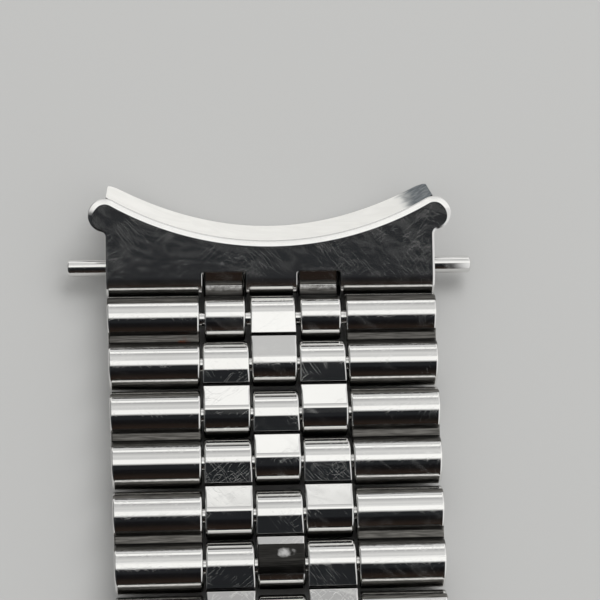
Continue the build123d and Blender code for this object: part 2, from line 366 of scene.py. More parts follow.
def link_piece(name, outline, bores, low, high, origin_y, dirt_and_shade_of, edge=LINK_EDGE):
    """A link: its outline swept across, with round side edges and bores; low and high give x by y."""
    bm = bmesh.new()
    normals = bm.verts.layers.float_vector.new("smooth_normal")

    def ring_at(x_of, side, angle, radius, points):
        """A ring at one side of the link; the angle says how far round the edge it lies."""
        turn = radians(angle)
        out = sin(turn)
        ring = []
        for y, z, normal_y, normal_z, *share in points:
            size = radius * (share[0] if share else 1)
            inset = size * (1 - out)
            place_y = origin_y + y - normal_y * inset
            place_x = x_of(place_y) - side * size * (1 - cos(turn))
            vertex = bm.verts.new((place_x, place_y, BAR_Z + z - normal_z * inset))
            vertex[normals] = Vector((side * cos(turn), normal_y * out, normal_z * out))
            ring.append(vertex)
        return ring

    def placed_dirt_and_shade(place, normal):
        """The link's dirt and painted shade by its own places, with none on its flat sides."""
        if abs(normal.x) > 0.9:
            return 0.0, 0.0
        return dirt_and_shade_of(place.y - origin_y, place.z - BAR_Z, normal)

    steps = (0, 22.5, 45, 67.5, 90)
    rings = [ring_at(low, -1, angle, edge, outline) for angle in steps]
    rings += [ring_at(high, 1, angle, edge, outline) for angle in reversed(steps)]
    join_all(bm, rings, flip=True)
    low_holes, high_holes = [], []
    for bore_y, radius in bores:
        circle = arc((bore_y, 0), -radius, 0, 360, 10)[:-1]
        bore_rings = [ring_at(low, -1, angle, BORE_EDGE, circle) for angle in (0, 45, 90)]
        bore_rings += [ring_at(high, 1, angle, BORE_EDGE, circle) for angle in (90, 45, 0)]
        join_all(bm, bore_rings)
        low_holes.append(bore_rings[0])
        high_holes.append(bore_rings[-1])
    fill_between(bm, [rings[0], *low_holes], Vector((-1, 0, 0)))
    fill_between(bm, [rings[-1], *high_holes], Vector((1, 0, 0)))
    return finish_mesh(name, bm, normals, placed_dirt_and_shade)


def turned_piece(name, profile, side):
    """A turned piece on the spring bar's line: its profile is (x, radius) from the middle outwards."""
    bm = bmesh.new()
    count = 48
    rings = []
    for x, radius in profile:
        ring = []
        for index in range(count):
            angle = 2 * pi * index / count
            y = BAR_Y + radius * cos(angle)
            ring.append(bm.verts.new((side * x, y, BAR_Z + radius * sin(angle))))
        rings.append(ring)
    join_all(bm, rings, flip=side > 0)
    bm.faces.new(rings[0] if side < 0 else rings[0][::-1])
    bm.faces.new(rings[-1][::-1] if side < 0 else rings[-1])
    piece = finish_mesh(name, bm, None)
    piece.data.set_sharp_from_angle(angle=radians(35))
    return piece


def coil_piece(name, side, half, radius):
    """The wound wire inside the spring bar, from the bar's middle to the tip on one side."""
    bm = bmesh.new()
    steps, corners = 20, 8
    count = COIL_TURNS * steps
    rings = []
    for index in range(count + 1):
        share = index / count
        angle = 2 * pi * COIL_TURNS * share
        x = side * (COIL_WIRE + (half - 2 * COIL_WIRE) * share)
        ring = []
        for corner in range(corners):
            turn = 2 * pi * corner / corners
            reach = radius - COIL_WIRE + COIL_WIRE * cos(turn)
            place = (x + COIL_WIRE * sin(turn), BAR_Y + reach * cos(angle), BAR_Z + reach * sin(angle))
            ring.append(bm.verts.new(place))
        rings.append(ring)
    join_all(bm, rings)
    bm.faces.new(rings[0])
    bm.faces.new(rings[-1][::-1])
    piece = finish_mesh(name, bm, None)
    piece.data.set_sharp_from_angle(angle=radians(50))
    return piece


# The end link is worked out in its own side view: the bar is the origin and the wrist plate is level
def to_row(y, z):
    """A point of the end link's side view, in the row frame."""
    return (BAR_Y + y * cos(TILT) - z * sin(TILT), BAR_Z + y * sin(TILT) + z * cos(TILT))


def row_normal(x, y, z):
    """A normal of the end link, turned from its side view into the row frame."""
    return Vector((x, y * cos(TILT) - z * sin(TILT), y * sin(TILT) + z * cos(TILT)))


FLAT_END = (
    ROLL_CENTRE[0] + ROLL_RADIUS * cos(radians(270) - TILT) + FLAT_LENGTH * cos(TILT),
    ROLL_CENTRE[1] + ROLL_RADIUS * sin(radians(270) - TILT) - FLAT_LENGTH * sin(TILT),
)
CROWN_CENTRE = (FLAT_END[0] + CROWN_RADIUS * sin(TILT), FLAT_END[1] + CROWN_RADIUS * cos(TILT))
DIAL_START = ROLL_CENTRE[0] - ROLL_LENGTH


def fold(v, depth):
    """The folded sheet's point and outward normal; v runs along the plate and on round the roll."""
    along = ROLL_CENTRE[0] - v
    if along <= 0:
        return (v, PLATE_HEIGHT - depth), (0, 1)
    if along <= ROLL_LENGTH:
        angle = pi / 2 + along / ROLL_RADIUS
        out = (cos(angle), sin(angle))
        reach = ROLL_RADIUS - depth
        return (ROLL_CENTRE[0] + reach * out[0], ROLL_CENTRE[1] + reach * out[1]), out
    along -= ROLL_LENGTH
    if along <= FLAT_LENGTH:
        out = (-sin(TILT), -cos(TILT))
        back = FLAT_LENGTH - along
        point = (FLAT_END[0] - back * cos(TILT), FLAT_END[1] + back * sin(TILT))
        return (point[0] - depth * out[0], point[1] - depth * out[1]), out
    along -= FLAT_LENGTH
    angle = 3 * pi / 2 - TILT + along / CROWN_RADIUS
    out = (cos(angle), sin(angle))
    reach = CROWN_RADIUS - depth
    return (CROWN_CENTRE[0] + reach * out[0], CROWN_CENTRE[1] + reach * out[1]), out


def wall_face(x, z, radius):
    """Where a face of the slanted case wall is, in the end link's side view."""
    centre = CASE_CENTRE + (PLATE_HEIGHT - SHEET - z) * tan(WALL_SLANT)
    return centre - sqrt(radius**2 - x**2)


def dial_end(x, depth=0, radius=WALL_RADIUS):
    """The place round the fold where the dial face meets a face of the case wall."""
    longest = FLAT_LENGTH + 4.5
    low, high = DIAL_START, DIAL_START - longest
    for _ in range(40):
        middle = (low + high) / 2
        (y, z), _normal = fold(middle, depth)
        if y < wall_face(x, z, radius):
            low = middle
        else:
            high = middle
    return low


def skin_boundary():
    """The unrolled sheet's outline, (x, v, normal x, normal v, edge radius), anticlockwise."""
    ear = (EAR_OFFSET, EAR_REACH)
    touch = degrees(atan2(EAR_REACH - CASE_CENTRE, EAR_OFFSET))
    foot_x = HALF_WIDTH + EAR_FOOT_ROUND
    foot_v = EAR_REACH - sqrt((EAR_RADIUS + EAR_FOOT_ROUND) ** 2 - (EAR_OFFSET - foot_x) ** 2)
    foot = (foot_x, foot_v)

    def dial_point(x):
        """The end of the dial face and its normal, at one place across."""
        step = 0.01
        slope = (dial_end(x + step) - dial_end(x - step)) / (2 * step)
        size = hypot(1, slope)
        return (x, dial_end(x), slope / size, -1 / size)

    # The right half: the dial face's end, its corner, the side, the ear's foot, the ear and the rim
    corner_x = HALF_WIDTH - WALL_CORNER
    last = corner_x
    for _ in range(6):
        last = corner_x + dial_point(last)[2] * WALL_CORNER
    count = 40
    right = [dial_point(last * (index + 0.5) / count) for index in range(count)]
    _x, v, normal_x, normal_v = dial_point(last)
    low_v = v - normal_v * WALL_CORNER
    right += arc((corner_x, low_v), WALL_CORNER, degrees(atan2(normal_v, normal_x)), 0, 10)
    rims = [DIAL_RIM] * len(right)
    steps = 60
    high_v = foot_v - 0.02
    for index in range(1, steps):
        right.append((HALF_WIDTH, low_v + (high_v - low_v) * index / steps, 1, 0))
    swing = heading(foot, ear)
    right += arc(foot, -EAR_FOOT_ROUND, 180, swing, 12)
    rims += [SIDE_RIM] * (len(right) - len(rims))
    ear_points = arc(ear, EAR_RADIUS, swing - 180, touch + 180, 5)
    right += ear_points
    for index in range(len(ear_points)):
        rims.append(SIDE_RIM + (CASE_RIM - SIDE_RIM) * fade(index / len(ear_points), 0.1, 0.6))
    # The rim's arc ends half a step past the middle, where its mirror image goes on
    past_middle = -90.75
    right += arc((0, CASE_CENTRE), -CASE_RADIUS, touch, past_middle, 1.5)[1:-1]
    rims += [CASE_RIM] * (len(right) - len(rims))
    loop = [(*point, rim) for point, rim in zip(right, rims)]
    loop += [(-x, v, -normal_x, normal_v, rim) for x, v, normal_x, normal_v, rim in reversed(loop)]
    return without_repeats(loop)


def notch_boundary(side):
    """A notch's outline in the unrolled sheet, clockwise, with normals into the notch."""
    low_x = side * NOTCH_MIDDLE - NOTCH_WIDTH / 2
    high_x = low_x + NOTCH_WIDTH
    top = -NOTCH_REACH
    roll_foot, _normal = fold(DIAL_START, 0)
    bottom = DIAL_START - (BAR_Y + EYE_RADIUS + NOTCH_GAP - to_row(*roll_foot)[0])
    corners = (
        ((low_x + NOTCH_CORNER, top - NOTCH_CORNER), 180, 90),
        ((high_x - NOTCH_CORNER, top - NOTCH_CORNER), 90, 0),
        ((high_x - NOTCH_CORNER, bottom + NOTCH_CORNER), 0, -90),
        ((low_x + NOTCH_CORNER, bottom + NOTCH_CORNER), -90, -180),
    )
    points = []
    for centre, start, end in corners:
        points += arc(centre, -NOTCH_CORNER, start, end, 15)
    spacing = 0.25
    dense = []
    for index, point in enumerate(points):
        after = points[(index + 1) % len(points)]
        dense.append(point)
        extra = int(hypot(after[0] - point[0], after[1] - point[1]) / spacing)
        for step in range(1, extra + 1):
            share = step / (extra + 1)
            dense.append(tuple(a + (b - a) * share for a, b in zip(point, after)))
    return without_repeats([(*point, NOTCH_RIM) for point in dense])


def notch_shade(place, normal):
    """Painted black shade on the side walls of the two notches."""
    inside = abs(abs(place.x) - NOTCH_MIDDLE) < NOTCH_WIDTH / 2 + 0.2
    return float(inside and abs(normal.x) > 0.5), 1.0


# The upper edge of the end link's sheet: angle from the flat, then inset and depth as shares of its size
SHEET_EDGE = (
    (0, 1.0, 0.0),
    (7, 0.97, 0.002),
    (14, 0.93, 0.01),
    (16, 0.2, 0.21),
    (40, 0.08, 0.28),
    (68, 0.02, 0.45),
    (90, 0.0, 0.6),
)


def skin_piece(name):
    """The folded sheet: drawn flat with round edges, cut finely across the bends, then folded."""
    bm = bmesh.new()
    normals = bm.verts.layers.float_vector.new("smooth_normal")

    def ring_at(points, angle, inset_of, depth_of):
        """A ring along an edge, turned from the flat by an angle; inset and depth go by its radius."""
        out, up = sin(radians(angle)), cos(radians(angle))
        ring = []
        for x, v, normal_x, normal_v, radius in points:
            inset = inset_of(radius)
            vertex = bm.verts.new((x - normal_x * inset, v - normal_v * inset, -depth_of(radius)))
            vertex[normals] = Vector((normal_x * out, normal_v * out, up))
            ring.append(vertex)
        return ring

    top_rings, under_rings = [], []
    for points in (skin_boundary(), notch_boundary(-1), notch_boundary(1)):
        rings = []
        for angle, inset, depth in SHEET_EDGE:
            ring = ring_at(points, angle, lambda radius: radius * inset, lambda radius: radius * depth)
            rings.append(ring)
        for angle in (90, 135, 180):
            inset = UNDER_RIM * (1 - sin(radians(angle)))
            depth = SHEET - UNDER_RIM * (1 + cos(radians(angle)))
            rings.append(ring_at(points, angle, lambda radius: inset, lambda radius: depth))
        join_all(bm, rings, flip=True)
        top_rings.append(rings[0])
        under_rings.append(rings[-1])
    fill_between(bm, top_rings, Vector((0, 0, 1)))
    fill_between(bm, under_rings, Vector((0, 0, -1)))
    for face in bm.faces:
        face.normal_update()

    # Cuts across the roll, the dial face's flat, its crown and the plate
    cuts = [ROLL_CENTRE[0] - ROLL_LENGTH * index / 54 for index in range(55)]
    cuts += [DIAL_START - FLAT_LENGTH * index / 6 for index in range(1, 7)]
    cuts += [DIAL_START - FLAT_LENGTH - 0.22 * index for index in range(1, 20)]
    cuts += [0.4, 1.0, 1.6]
    for cut in cuts:
        geometry = bm.verts[:] + bm.edges[:] + bm.faces[:]
        bmesh.ops.bisect_plane(
            bm, geom=geometry, dist=SAME_PLACE, plane_co=(0, cut, 0), plane_no=(0, 1, 0),
        )

    for vertex in bm.verts:
        x, v, negative_depth = vertex.co
        (y, z), out = fold(v, -negative_depth)
        if v < DIAL_START:
            y = min(y, wall_face(x, z, WALL_RADIUS) - 0.01)
        flat = vertex[normals]
        normal_y = flat.y * out[1] + flat.z * out[0]
        normal_z = flat.y * -out[0] + flat.z * out[1]
        vertex.co = Vector((x, *to_row(y, z)))
        vertex[normals] = row_normal(flat.x, normal_y, normal_z)
    return finish_mesh(name, bm, normals, notch_shade)


def wall_piece(name):
    """The curved case wall, leaning out from under the rim down to the dial face."""
    bm = bmesh.new()
    normals = bm.verts.layers.float_vector.new("smooth_normal")
    half = HALF_WIDTH - WALL_INSET
    columns = 72
    shares = (0, 0.014, 0.04, 0.07, 0.2, 0.35, 0.5, 0.65, 0.8, 0.9, 1)
    high_z = PLATE_HEIGHT - SHEET

    def foot_height(x, radius):
        """Height where a face of the wall ends in the dial face's sheet, with rounded lower corners."""
        foot = fold(dial_end(x, WALL_SINK, radius), WALL_SINK)[0][1]
        off = max(0, abs(x) - (half - WALL_CORNER))
        return foot + WALL_CORNER - sqrt(max(0, WALL_CORNER**2 - off**2))

    faces = []
    for radius, facing in ((WALL_RADIUS, 1), (WALL_RADIUS + SHEET, -1)):
        grid = []
        for column in range(columns + 1):
            x = half * sin(pi * (column / columns - 0.5))
            low_z = foot_height(x, radius)
            lean = Vector((-x / radius, sqrt(1 - (x / radius) ** 2), tan(WALL_SLANT))).normalized()
            line = []
            for share in shares:
                z = high_z + (low_z - high_z) * share
                vertex = bm.verts.new((x, *to_row(wall_face(x, z, radius), z)))
                vertex[normals] = facing * row_normal(*lean)
                line.append(vertex)
            grid.append(line)
        faces.append(grid)
    outer, inner = faces
    for column in range(columns):
        left, right = outer[column], outer[column + 1]
        back_left, back_right = inner[column], inner[column + 1]
        for index in range(len(shares) - 1):
            below = index + 1
            bm.faces.new((left[index], left[below], right[below], right[index]))
            bm.faces.new((back_left[index], back_right[index], back_right[below], back_left[below]))
        bm.faces.new((left[0], right[0], back_right[0], back_left[0]))
        bm.faces.new((left[-1], back_left[-1], back_right[-1], right[-1]))
    for index in range(len(shares) - 1):
        below = index + 1
        bm.faces.new((outer[0][index], inner[0][index], inner[0][below], outer[0][below]))
        bm.faces.new((outer[-1][index], outer[-1][below], inner[-1][below], inner[-1][index]))
    top_line = {vertex.co.to_tuple(4) for line in outer for vertex in line[:2]}

    def top_shade(place, _normal):
        """A painted dark line of shade along the wall's top, under the rim."""
        return float(place.to_tuple(4) in top_line), 0.8

    return finish_mesh(name, bm, normals, top_shade)


# Where dirt and painted shade lie on a link: how much, and how black it is. Places are in millimetres
# from the link's first pin, and leans in degrees.
def lean_of(normal):
    """Angle in degrees by which a surface leans towards the case."""
    return degrees(atan2(normal.y, normal.z))


def outer_dirt_and_shade(row):
    """The dirt and painted shade of an outer link; the first row is painted blacker, as shade under the
    end link.
    """
    # The first row's flanks are painted blacker, and from a gentler lean on, as shade under the end link
    start = 18 if row == 1 else 29
    front_black = 0.55 if row == 1 else 0.25
    rear_black = 0.75 if row == 1 else 0.6

    def darkening(y, z, normal):
        """Brushed dirt in the valley and grey dirt on the flanks towards the case, with painted shade:
        black in the valley's rear crease and low on the front flank.
        """
        across = y + OUTER_PITCH / 2
        lean = lean_of(normal)
        valley = fade(abs(across), 0.44, 0.34) * fade(z, 0.3, 0.6)
        # Painted shade: black in the valley's rear crease
        crease = valley * fade(across, -0.12, -0.24)
        valley_black = 0.42 if across < 0.5 else 0
        if across < 0:
            # Grey dirt on the rear hump's flank in the valley, painted darker as shade
            flank = 0.9 * fade(lean, 18, 40)
            flank_black = rear_black * fade(lean, 18, 30)
        else:
            # Grey dirt high on the front flank, and painted black shade low down by the row before
            upper = 0.9 * fade(lean, start, start + 4) * fade(lean, 48, 43)
            flank = max(upper, 0.35 * fade(lean, 43, 48), fade(lean, 56, 60))
            flank_black = front_black + 0.3 * fade(lean, 50, 60)
        return max(valley, flank * fade(z, -0.5, 0)), max(valley_black, crease, flank_black)

    return darkening


def first_dirt_and_shade(y, z, normal):
    """Pale dust on the neck, painted black shade where it meets the hump, and grey dirt up the flank
    behind it.
    """
    lean = lean_of(normal)
    neck = fade(y, -1.24, -1.36) * fade(y, -2.15, -2.05) * fade(z, -0.2, 0.1)
    neck *= 0.42 + 0.58 * fade(y, -1.5, -1.95)
    flank = fade(lean, 26, 33) * fade(y, -1.9, -2.05) * fade(z, -0.5, 0)
    # Painted shade: black where the neck meets the hump
    crease_black = 0.95 * fade(y, -1.86, -1.96) * fade(y, -2.3, -2.1)
    return max(neck, flank), crease_black + 0.5 * fade(y, -2.1, -2.3)


def loaf_shade(pitch, dark_rear=False):
    """The painted shade of a centre or inner link; with a dark rear, it also has a painted dark
    reflection over its rear half.
    """

    def darkening(y, z, normal):
        """Painted shade in the seam and low on the flank that faces the case, and a painted dark
        reflection over a dark rear half.
        """
        lean = lean_of(normal)
        # Painted shade: the seam's walls are black
        if abs(y + pitch / 2) < 0.25 and abs(lean) > 27:
            return 1.0, 1.0
        # Painted dark reflection over the rear half, in place of the bright band it would show
        if dark_rear and y < -pitch / 2 - 0.54:
            return fade(y, -pitch - 1.0, -pitch - 0.6), 0.9
        # Painted shade low on the flank that faces the case
        return fade(lean, 58, 66), 0.85

    return darkening


# Colours of the materials; the pairs are the two ends of a mottled tone
STEEL_TONES = ((0.80, 0.795, 0.78), (0.84, 0.835, 0.82))
SATIN_TONES = ((0.845, 0.835, 0.805), (0.895, 0.885, 0.855))
DARK_END_TONES = ((0.15, 0.175, 0.20), (0.38, 0.41, 0.43))
DUST_TONES = ((0.14, 0.134, 0.124), (0.33, 0.318, 0.295))
# The black of dark dirt, and of the painted shade in creases, seams, notches and gaps
SOOT_AND_SHADE = (0.014, 0.0135, 0.013)
RUST = (0.10, 0.036, 0.022)

# The span in which most of a noise's values lie, and the sockets of a mix node for colours
NOISE_SPAN = (0.3, 0.7)
MIX_A, MIX_B, MIX_RESULT = 6, 7, 2


def node_kit(name):
    """A new material with its node tree and shader."""
    material = bpy.data.materials.new(name)
    material.use_nodes = True
    tree = material.node_tree
    return material, tree, tree.nodes["Principled BSDF"]


def add_node(tree, kind, **values):
    """A node with its settings; names that are inputs are set there."""
    node = tree.nodes.new(kind)
    for key, value in values.items():
        if key in node.inputs:
            node.inputs[key].default_value = value
        else:
            setattr(node, key, value)
    return node


def remap(tree, value, low, high, to_low=0.0, to_high=1.0):
    """A socket's value, taken smoothly from one span to another."""
    node = add_node(tree, "ShaderNodeMapRange", interpolation_type="SMOOTHSTEP")
    node.inputs["From Min"].default_value = low
    node.inputs["From Max"].default_value = high
    node.inputs["To Min"].default_value = to_low
    node.inputs["To Max"].default_value = to_high
    tree.links.new(value, node.inputs["Value"])
    return node.outputs["Result"]


def combine(tree, operation, a, b):
    """Two sockets, or a socket and a number, put through one operation."""
    clamped = operation in ("ADD", "MULTIPLY")
    node = add_node(tree, "ShaderNodeMath", operation=operation, use_clamp=clamped)
    for index, value in enumerate((a, b)):
        if isinstance(value, (int, float)):
            node.inputs[index].default_value = value
        else:
            tree.links.new(value, node.inputs[index])
    return node.outputs[0]


def noise_of(tree, place, scale, detail=1.0, stretch=None, turn=0.0, distortion=0.0):
    """Noise over the object's own places; stretch squeezes it by axis after a turn in degrees."""
    where = place
    if turn:
        spin = add_node(tree, "ShaderNodeMapping")
        spin.inputs["Rotation"].default_value = (0, 0, radians(turn))
        tree.links.new(where, spin.inputs["Vector"])
        where = spin.outputs["Vector"]
    if stretch:
        squeeze = add_node(tree, "ShaderNodeMapping")
        squeeze.inputs["Scale"].default_value = stretch
        tree.links.new(where, squeeze.inputs["Vector"])
        where = squeeze.outputs["Vector"]
    noise = add_node(tree, "ShaderNodeTexNoise", Scale=scale, Detail=detail, Distortion=distortion)
    tree.links.new(where, noise.inputs["Vector"])
    return noise.outputs["Fac"]


def hairlines(tree, noise, width):
    """Thin lines along a noise's middle level: 1 on the line and 0 off it."""
    level = combine(tree, "SUBTRACT", noise, 0.5)
    node = add_node(tree, "ShaderNodeMath", operation="ABSOLUTE")
    tree.links.new(level, node.inputs[0])
    return remap(tree, node.outputs[0], width, 0.0)


def mixed(tree, share, a, b):
    """Two colours, each a socket or three numbers, mixed by a share."""
    node = add_node(tree, "ShaderNodeMix", data_type="RGBA")
    tree.links.new(share, node.inputs[0])
    for index, value in ((MIX_A, a), (MIX_B, b)):
        if isinstance(value, tuple):
            node.inputs[index].default_value = (*value, 1)
        else:
            tree.links.new(value, node.inputs[index])
    return node.outputs[MIX_RESULT]


def near(tree, place, point, ragged, wobble, reach):
    """1 close to a point, given in millimetres, and 0 beyond its reach, with an uneven edge."""
    offset = add_node(tree, "ShaderNodeVectorMath", operation="DISTANCE")
    offset.inputs[1].default_value = [value * MM for value in point]
    tree.links.new(place, offset.inputs[0])
    uneven = remap(tree, ragged, *NOISE_SPAN, -wobble * MM, wobble * MM)
    spread = combine(tree, "ADD", offset.outputs["Value"], uneven)
    return remap(tree, spread, reach * MM, reach * 0.3 * MM)


def scratch_marks(tree, place):
    """Hairline scratches in patches: curls and crossing strokes one way, longer strokes the other."""
    curls = hairlines(tree, noise_of(tree, place, 800.0, distortion=0.6), 0.008)
    stroke_noise = noise_of(tree, place, 1.0, stretch=(500.0, 3600.0, 1500.0), turn=52.0)
    strokes = hairlines(tree, stroke_noise, 0.011)
    cross_noise = noise_of(tree, place, 1.0, stretch=(600.0, 4200.0, 1500.0), turn=-40.0)
    cross = hairlines(tree, cross_noise, 0.009)
    where = remap(tree, noise_of(tree, place, 520.0), 0.46, 0.58)
    where_strokes = remap(tree, noise_of(tree, place, 380.0), 0.48, 0.58)
    marks = combine(tree, "MULTIPLY", combine(tree, "ADD", curls, cross), where)
    return combine(tree, "ADD", marks, combine(tree, "MULTIPLY", strokes, where_strokes))


def steel(
    name, roughness, haze, scratches, wave, rust_at=None, worn_at=None, satin_to=None, smeary=False,
):
    """Worn steel: hazy smears, hairline scratches, slight waviness, and grime where the mesh has it.

    The rust and the worn spot are places in millimetres. satin_to makes it a pale satin finish that
    turns to a darker blue-grey metal between two places across, in millimetres.
    """
    material, tree, shader = node_kit(name)
    link = tree.links.new
    if not satin_to:
        shader.inputs["Metallic"].default_value = 1.0
    place = add_node(tree, "ShaderNodeTexCoord").outputs["Object"]
    # How much dirt and painted shade the mesh carries at each place
    layer = add_node(tree, "ShaderNodeAttribute", attribute_name="grime_and_shade").outputs["Fac"]
    ragged = noise_of(tree, place, 4200.0, 3.0)
    grime_and_shade = combine(tree, "ADD", layer, remap(tree, ragged, *NOISE_SPAN, -0.07, 0.07))
    grime_and_shade = combine(tree, "MULTIPLY", remap(tree, grime_and_shade, 0.25, 0.75), remap(tree, layer, 0.0, 0.15))
    if worn_at:
        worn = near(tree, place, worn_at, noise_of(tree, place, 1500.0, 2.0), 0.2, 0.5)
        grime_and_shade = combine(tree, "MULTIPLY", grime_and_shade, combine(tree, "SUBTRACT", 1.0, worn))

    smear_scale, smear_low, patch_low = (620.0, 0.38, 0.15) if smeary else (420.0, 0.45, 0.35)
    smears = noise_of(tree, place, smear_scale, 5.0, stretch=(0.6, 1.6, 1.0), turn=20.0, distortion=2.2)
    patches = noise_of(tree, place, 160.0)
    smear_share = combine(
        tree, "MULTIPLY",
        remap(tree, smears, smear_low, smear_low + 0.27),
        remap(tree, patches, patch_low, patch_low + 0.25),
    )
    rough = combine(
        tree, "ADD",
        remap(tree, smear_share, 0.0, 1.0, roughness, roughness + haze),
        remap(tree, grime_and_shade, 0.0, 1.0, 0.0, 0.26),
    )
    link(rough, shader.inputs["Roughness"])

    tone = mixed(tree, remap(tree, patches, *NOISE_SPAN), *STEEL_TONES)
    brush = noise_of(tree, place, 1.0, 3.0, stretch=(900.0, 14000.0, 14000.0))
    if satin_to:
        split = add_node(tree, "ShaderNodeSeparateXYZ")
        link(place, split.inputs[0])
        wander = remap(tree, smears, *NOISE_SPAN, -0.2 * MM, 0.2 * MM)
        edge = combine(tree, "ADD", split.outputs["X"], wander)
        dark_end = remap(tree, edge, satin_to[0] * MM, satin_to[1] * MM)
        tone = mixed(tree, remap(tree, smears, 0.35, 0.7), *SATIN_TONES)
        streaks = noise_of(
            tree, place, 1.0, 3.0, stretch=(700.0, 3000.0, 5200.0), turn=8.0, distortion=0.4,
        )
        tone = mixed(tree, dark_end, tone, mixed(tree, remap(tree, streaks, 0.3, 0.8), *DARK_END_TONES))
        link(remap(tree, dark_end, 0.0, 1.0, 0.25, 1.0), shader.inputs["Metallic"])
    dust = mixed(tree, remap(tree, brush, 0.35, 0.7), *DUST_TONES)
    # How black the dirt and the painted shade are at each place
    black = add_node(tree, "ShaderNodeAttribute", attribute_name="soot_and_shade").outputs["Fac"]
    tone = mixed(tree, grime_and_shade, tone, mixed(tree, black, dust, SOOT_AND_SHADE))
    if rust_at:
        tone = mixed(tree, near(tree, place, rust_at, ragged, 0.15, 0.38), tone, RUST)
    link(tone, shader.inputs["Base Color"])

    marks = scratch_marks(tree, place)
    cut = add_node(tree, "ShaderNodeBump", Strength=scratches, Distance=-0.004 * MM)
    link(marks, cut.inputs["Height"])
    grain = add_node(tree, "ShaderNodeBump", Strength=0.5, Distance=0.01 * MM)
    link(combine(tree, "MULTIPLY", brush, grime_and_shade), grain.inputs["Height"])
    link(cut.outputs["Normal"], grain.inputs["Normal"])
    ripple = add_node(tree, "ShaderNodeBump", Strength=1.0, Distance=wave * MM)
    link(noise_of(tree, place, 600.0), ripple.inputs["Height"])
    link(grain.outputs["Normal"], ripple.inputs["Normal"])
    link(ripple.outputs["Normal"], shader.inputs["Normal"])
    return material


polished = steel(
    "polished_steel", roughness=0.055, haze=0.14, scratches=0.28, wave=0.006,
    rust_at=(-5.33, 4.88, 1.98), worn_at=(0.25, -8.05, 2.6),
)
plate = steel("plate_steel", roughness=0.11, haze=0.052, scratches=0.22, wave=0.004, smeary=True)
satin = steel("satin_steel", roughness=0.42, haze=0.12, scratches=0.3, wave=0.01, satin_to=(7.9, 9.1))
turned = steel("turned_steel", roughness=0.10, haze=0.1, scratches=0.3, wave=0.002)


def dress(piece, body, material, node):
    """Gives a piece its material and its body, and hides the CAD node that it stands for."""
    piece.data.materials.clear()
    piece.data.materials.append(material)
    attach(piece, body)
    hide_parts(node)


# The pieces of the end link
dress(skin_piece("end_link_folded_skin"), "end_link", plate, "end_link_skin")
dress(wall_piece("end_link_case_wall"), "end_link", satin, "end_link_wall")

# The links; their creases differ a little, as the worn links each catch the light in their own way
OUTER_OUTLINE = outer_outline(HUMP_BULGE)
LAST_OUTLINE = outer_outline(0)
INNER_OUTLINES = {
    (2, -1): loaf_outline(INNER_PITCH, 19, 16, 0.45),
    (2, 1): loaf_outline(INNER_PITCH, 17, 16),
    (3, -1): loaf_outline(INNER_PITCH, 17, 16),
    (3, 1): loaf_outline(INNER_PITCH, 17.5, 16, 0.12),
    (4, -1): loaf_outline(INNER_PITCH, 16.5, 16),
    (4, 1): loaf_outline(INNER_PITCH, 17, 16),
}
CENTRE_OUTLINES = {
    1: loaf_outline(OUTER_PITCH, 7, 7),
    2: loaf_outline(OUTER_PITCH, 18, 16, 0.25),
    3: loaf_outline(OUTER_PITCH, 17.5, 12, 0.15),
    4: loaf_outline(OUTER_PITCH, 17, 16),
}
# The row whose centre link gets a painted dark reflection over its rear half
DARK_REAR_ROW = 3


def at_x(x):
    """A link's straight side, at the same x all along the strand."""
    return lambda y: x


def make_first_links():
    """The two links that turn on the spring bar."""
    outline = first_outline()
    bores = [(0, EYE_BORE), (-FIRST_PITCH, LOOSE_RADIUS)]
    for side, side_name in SIDES:
        low_x = side * NOTCH_MIDDLE - FIRST_WIDTH / 2
        high_x = side * NOTCH_MIDDLE + FIRST_WIDTH / 2
        name = f"first_inner_link_{side_name}"
        piece = link_piece(name, outline, bores, at_x(low_x), at_x(high_x), BAR_Y, first_dirt_and_shade)
        dress(piece, "inner_1", polished, f"inner_link_1_{side_name}")


def make_row(row):
    """Two outer links and the centre link between them."""
    front_y = BAR_Y - pin_place(2 * row - 1)
    rear_bore = LOOSE_RADIUS if row == ROWS else PIN_RADIUS
    bores = [(0, PIN_RADIUS), (-OUTER_PITCH, rear_bore)]
    outline = LAST_OUTLINE if row == ROWS else OUTER_OUTLINE
    for side, side_name in SIDES:
        if side < 0:
            low, high = (lambda y: -strand_side(y)), at_x(-OUTER_START)
        else:
            low, high = at_x(OUTER_START), strand_side
        name = f"outer_link_shell_{row}_{side_name}"
        piece = link_piece(name, outline, bores, low, high, front_y, outer_dirt_and_shade(row), OUTER_EDGE)
        dress(piece, f"row_{row}", polished, f"outer_link_{row}_{side_name}")
    half = CENTRE_WIDTH / 2
    dirt_and_shade_of = loaf_shade(OUTER_PITCH, row == DARK_REAR_ROW)
    name = f"centre_link_shell_{row}"
    piece = link_piece(name, CENTRE_OUTLINES[row], bores, at_x(-half), at_x(half), front_y, dirt_and_shade_of)
    dress(piece, f"row_{row}", polished, f"centre_link_{row}")


def make_inner_pair(number):
    """Two inner links, between the row before them and the row behind."""
    front_y = BAR_Y - pin_place(2 * number - 2)
    bores = [(0, LOOSE_RADIUS), (-INNER_PITCH, LOOSE_RADIUS)]
    dirt_and_shade_of = loaf_shade(INNER_PITCH)
    for side, side_name in SIDES:
        low_x = INNER_START if side > 0 else -INNER_START - INNER_WIDTH
        low, high = at_x(low_x), at_x(low_x + INNER_WIDTH)
        name = f"inner_link_shell_{number}_{side_name}"
        piece = link_piece(name, INNER_OUTLINES[number, side], bores, low, high, front_y, dirt_and_shade_of)
        dress(piece, f"inner_{number}", polished, f"inner_link_{number}_{side_name}")


make_first_links()
for row in range(1, ROWS + 1):
    make_row(row)
    if row < ROWS:
        make_inner_pair(row + 1)

